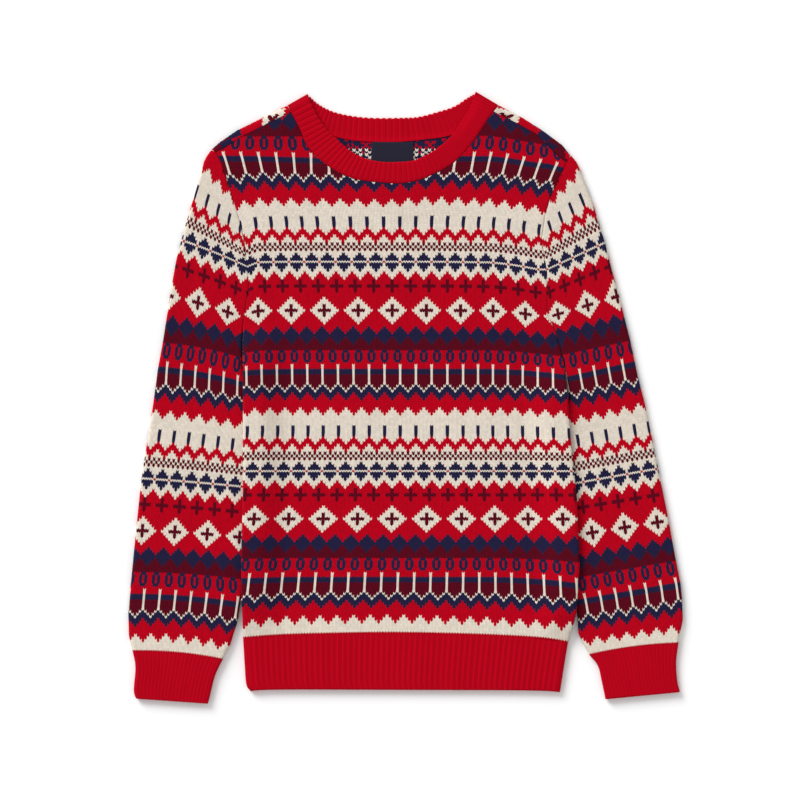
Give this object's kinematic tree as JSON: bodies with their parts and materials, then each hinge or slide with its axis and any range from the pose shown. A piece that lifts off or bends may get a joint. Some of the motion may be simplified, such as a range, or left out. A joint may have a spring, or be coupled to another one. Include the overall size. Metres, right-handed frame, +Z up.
{
  "type": "intarsia sweater laid flat",
  "caption": "Crew-neck knitted sweater laid flat, front up, with set-in sleeves down at its sides, ribbed hem, cuffs and neckband.",
  "frame": {"origin": "centre of the laid sweater's bounding box, on the surface it lies on", "axes": "+Z up, away from the surface; +Y from hem to neck; +X towards the wearer's left"},
  "size_m": [0.502, 0.554, 0.0115],
  "materials": {
    "jacquard_knit": "matt knitted yarn in red, cream, navy and maroon",
    "rib_knit": "matt red rib",
    "woven_label": "close satin weave, blank"
  },
  "bodies": {
    "root": {"back": "jacquard_knit", "front": "jacquard_knit", "sleeve_right": "jacquard_knit", "sleeve_left": "jacquard_knit", "hem_rib_front": "rib_knit", "hem_rib_back": "rib_knit", "cuff_right": "rib_knit", "cuff_left": "rib_knit", "neckband": "rib_knit", "label": "woven_label"}
  },
  "joints": []
}
